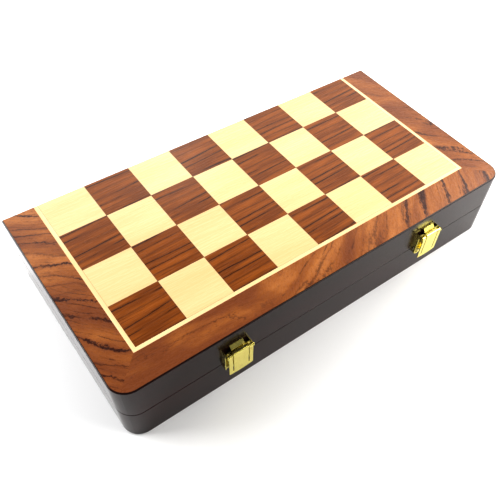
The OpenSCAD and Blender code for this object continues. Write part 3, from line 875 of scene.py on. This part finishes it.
def makeNail():
    place, (x, z) = latch["place"], nail["spot"]
    face, height, tip, point = -catch["sheet"], nail["headHeight"], nail["tip"], nail["point"]
    shrink = nail["shank"] / nail["head"]
    piece = cylinder("catchNail", place, (x, face - height / 2, z), nail["head"], height, "y")
    choose(piece, "FACE", place, lambda p, n: n.y > facing)
    push(0, 0, 0)
    scaled(place, (x, face, z), shrink, 1, shrink)
    push(0, catch["sheet"] + nail["length"] - tip, 0)
    push(0, tip, 0)
    scaled(place, (x, nail["length"], z), point, 1, point)
    choose(piece, "EDGE", place,
           lambda p, n: p.y < face - height + slack / 2 and abs(n.y) < slack)
    bevel(nail["arris"], 5)
    smoothEdges(piece, nail["edge"], 2)
    return piece


def makeLatches():
    left = {"frame": makeFrame(), "lever": makeLever(), "pin": makePin(), "catch": makeCatch()}
    firstNail = makeNail()
    bodies = {"frame": "upper_tray", "lever": "left_lever", "pin": "upper_tray",
              "catch": "lower_tray"}
    for part, piece in left.items():
        body = bodies[part]
        twin = copied(piece, piece.name.replace("Left", "Right"), latch["other"])
        settle(piece, body, "latch_brass", latchBrass, "latch_left_" + part)
        settle(twin, body.replace("left", "right"), "latch_brass", latchBrass,
               "latch_right_" + part)
    for piece in fastenings(firstNail, "catchNail", 2 * nail["spot"][0], latch["other"]):
        settle(piece, "lower_tray", "latch_brass", latchBrass, "latch_catch_nails")


makeLatches()
print("latches ready")

# the left hinge's place on its pin's line, and the way to the other
hinge = {"place": (-95, 75.15, 25.75), "other": 190, "half": 13, "leafFrom": -6.55, "face": 0.1,
         "sheet": 1, "knuckle": 1.7, "knuckleArris": 0.08, "bore": 0.8, "roundSteps": (30, 22),
         "gap": 0.2, "plateEnd": -1.95, "overlap": 0.5, "pin": 0.75, "pinArris": 0.25,
         "arris": 0.1}
screw = {"spot": (7.6, -4.15), "head": 1.9, "shank": 1, "cone": 0.9, "length": 6, "tip": 1.5,
         "point": 0.15, "slot": 0.25, "slotDepth": 0.5, "edge": 0.05, "roundSteps": 40}
# the cone cut for a screw: wider than the head, narrower at its end, how deep and where
sink = {"wider": 0.24, "narrow": 1.3, "depth": 1.5, "middle": 0.55}


def rolledProfile(side, x):
    # side view of a knuckle: the sheet runs over the pin, round it, and back to its underside
    def ring(radius, angle):
        return (x, radius * cos(radians(angle)), side * radius * sin(radians(angle)))

    def arc(radius, start, sweep, steps):
        return [ring(radius, start + sweep * i / steps) for i in range(steps + 1)]

    face, top = hinge["face"], hinge["face"] + hinge["sheet"]
    outer, bore = hinge["knuckle"], hinge["bore"]
    outerSteps, boreSteps = hinge["roundSteps"]
    lift, shut = degrees(asin(top / outer)), degrees(asin(face / bore))
    back = hinge["plateEnd"] - hinge["overlap"]
    return ([(x, back, side * (face + close)), (x, back, side * (top - close))]
            + arc(outer, 180 - lift, lift + shut - 360, outerSteps)
            + arc(bore, shut - 180, 360 - 2 * shut, boreSteps))


def drillHole(plate, place, x, y, low, side):
    deselect()
    bpy.ops.mesh.primitive_cone_add(
        vertices=screw["roundSteps"], radius1=(screw["head"] + sink["wider"]) * mm,
        radius2=(screw["head"] - sink["narrow"]) * mm, depth=sink["depth"] * mm,
        location=spot(place, x, y, low + side * sink["middle"]),
        rotation=(0, 0 if side > 0 else radians(180), 0))
    drill = bpy.context.object
    pick(plate)
    bpy.ops.object.modifier_add(type="BOOLEAN")
    hole = plate.modifiers[-1]
    hole.operation, hole.solver, hole.object = "DIFFERENCE", "EXACT", drill
    bpy.ops.object.modifier_apply(modifier=hole.name)
    pick(drill)
    bpy.ops.object.delete()


def makeLeaf(side, name):
    place, half = hinge["place"], hinge["half"]
    low, high = side * hinge["face"], side * (hinge["face"] + hinge["sheet"])
    start, end = hinge["leafFrom"], hinge["plateEnd"]
    corners = ((-half, start), (half, start), (half, end), (-half, end))
    plate = outline(name, place, [(x, y, low) for x, y in corners])
    pushAll(0, 0, high - low)
    smoothEdges(plate, hinge["arris"])
    screwX, screwY = screw["spot"]
    for x in (-screwX, screwX):  # countersunk holes
        drillHole(plate, place, x, screwY, low, side)
    length = (2 * half - 2 * hinge["gap"]) / 3
    starts = [-length / 2] if side > 0 else [-half, half - length]
    knuckles = []
    for first in starts:
        knuckle = outline("knuckle", place, rolledProfile(side, first))
        pushAll(length, 0, 0)
        smoothEdges(knuckle, hinge["knuckleArris"], 2)
        knuckles.append(knuckle)
    return joined(plate, *knuckles)


def makeHingePin():
    piece = cylinder("hingePinLeft", hinge["place"], (0, 0, 0), hinge["pin"],
                     2 * hinge["half"], "x")
    smoothEdges(piece, hinge["pinArris"], 4)
    return piece


def makeScrew(side, name):
    place, (x, y) = hinge["place"], screw["spot"]
    face, cone, slot = side * hinge["face"], side * screw["cone"], screw["slot"]
    tip, point, shrink = screw["tip"], screw["point"], screw["shank"] / screw["head"]
    piece = cylinder(name, place, (x, y, face + cone / 2), screw["head"], screw["cone"], "z",
                     screw["roundSteps"])
    choose(piece, "FACE", place, lambda p, n: n.z * side > facing)
    scaled(place, (x, y, face + cone), shrink, shrink, 1)
    push(0, 0, side * (screw["length"] - tip))
    push(0, 0, side * tip)
    scaled(place, (x, y, face + cone + side * screw["length"]), point, point, 1)
    for edge in (-slot, slot):
        cut(place, (x, y + edge, 0), (0, 1, 0))
    choose(piece, "FACE", place, lambda p, n: n.z * side < -facing and abs(p.y - y) < slot)
    push(0, 0, side * screw["slotDepth"])
    smoothEdges(piece, screw["edge"], 2, 50)
    return piece


def makeHinges():
    for side, tray in ((-1, "lower"), (1, "upper")):
        body = tray + "_tray"
        leaf = makeLeaf(side, tray + "LeafLeft")
        twin = copied(leaf, tray + "LeafRight", hinge["other"])
        settle(leaf, body, "hinge_brass", hingeBrass, "hinge_left_" + tray + "_leaf")
        settle(twin, body, "hinge_brass", hingeBrass, "hinge_right_" + tray + "_leaf")
        first = makeScrew(side, tray + "Screw")
        for piece in fastenings(first, tray + "Screw", 2 * screw["spot"][0], hinge["other"]):
            settle(piece, body, "hinge_brass", hingeBrass, "hinge_" + tray + "_screws")
    pin = makeHingePin()
    twin = copied(pin, "hingePinRight", hinge["other"])
    settle(pin, "lower_tray", "hinge_brass", hingeBrass, "hinge_left_pin")
    settle(twin, "lower_tray", "hinge_brass", hingeBrass, "hinge_right_pin")


makeHinges()
print("hinges ready")

lining = {"half": (141.7, 66.7), "corner": 3.2, "sheet": 0.9, "lower": 4.8, "upper": 46.7,
          "grid": 10, "wave": 0.05, "waveRadius": 20, "edge": 0.3}
# where the cloth lies a little higher (1) or lower (-1)
waves = ((-96, -31, 1), (-41, 22, -1), (12, -38, 1), (58, 30, 1), (103, -12, -1), (-120, 41, 1),
         (88, 48, -1), (-8, 50, 1))


def makeLining(tray):
    # cloth glued to the board, a little uneven, with soft edges
    up = 1 if tray == "lower" else -1
    halfX, halfY = lining["half"]
    place, sheet = (0, 0, lining[tray]), lining["sheet"]
    grid, reach = lining["grid"], lining["waveRadius"]
    corners = ((-halfX, -halfY), (halfX, -halfY), (halfX, halfY), (-halfX, halfY))
    piece = outline(tray + "Lining", place, [(x, y, 0) for x, y in corners])
    roundCorners(piece, place, lambda p, n: p.y < 0, lining["corner"], 6)
    for half, way in ((halfX, (1, 0, 0)), (halfY, (0, 1, 0))):
        steps = int(half // grid)
        for i in range(-steps, steps + 1):
            cut(place, [i * grid * part for part in way], way)
    pushAll(0, 0, up * sheet)
    for x, y, rise in waves:
        choose(piece, "VERT", place,
               lambda p, n: (p.x - x) ** 2 + (p.y - y) ** 2 < reach ** 2 and p.z * up > sheet / 2)
        bpy.ops.transform.translate(value=(0, 0, up * rise * lining["wave"] * mm))
    smoothEdges(piece, lining["edge"], 3)
    settle(piece, tray + "_tray", "lining_cloth", cloth, tray + "_lining")


makeLining("lower")
makeLining("upper")
print("linings ready")
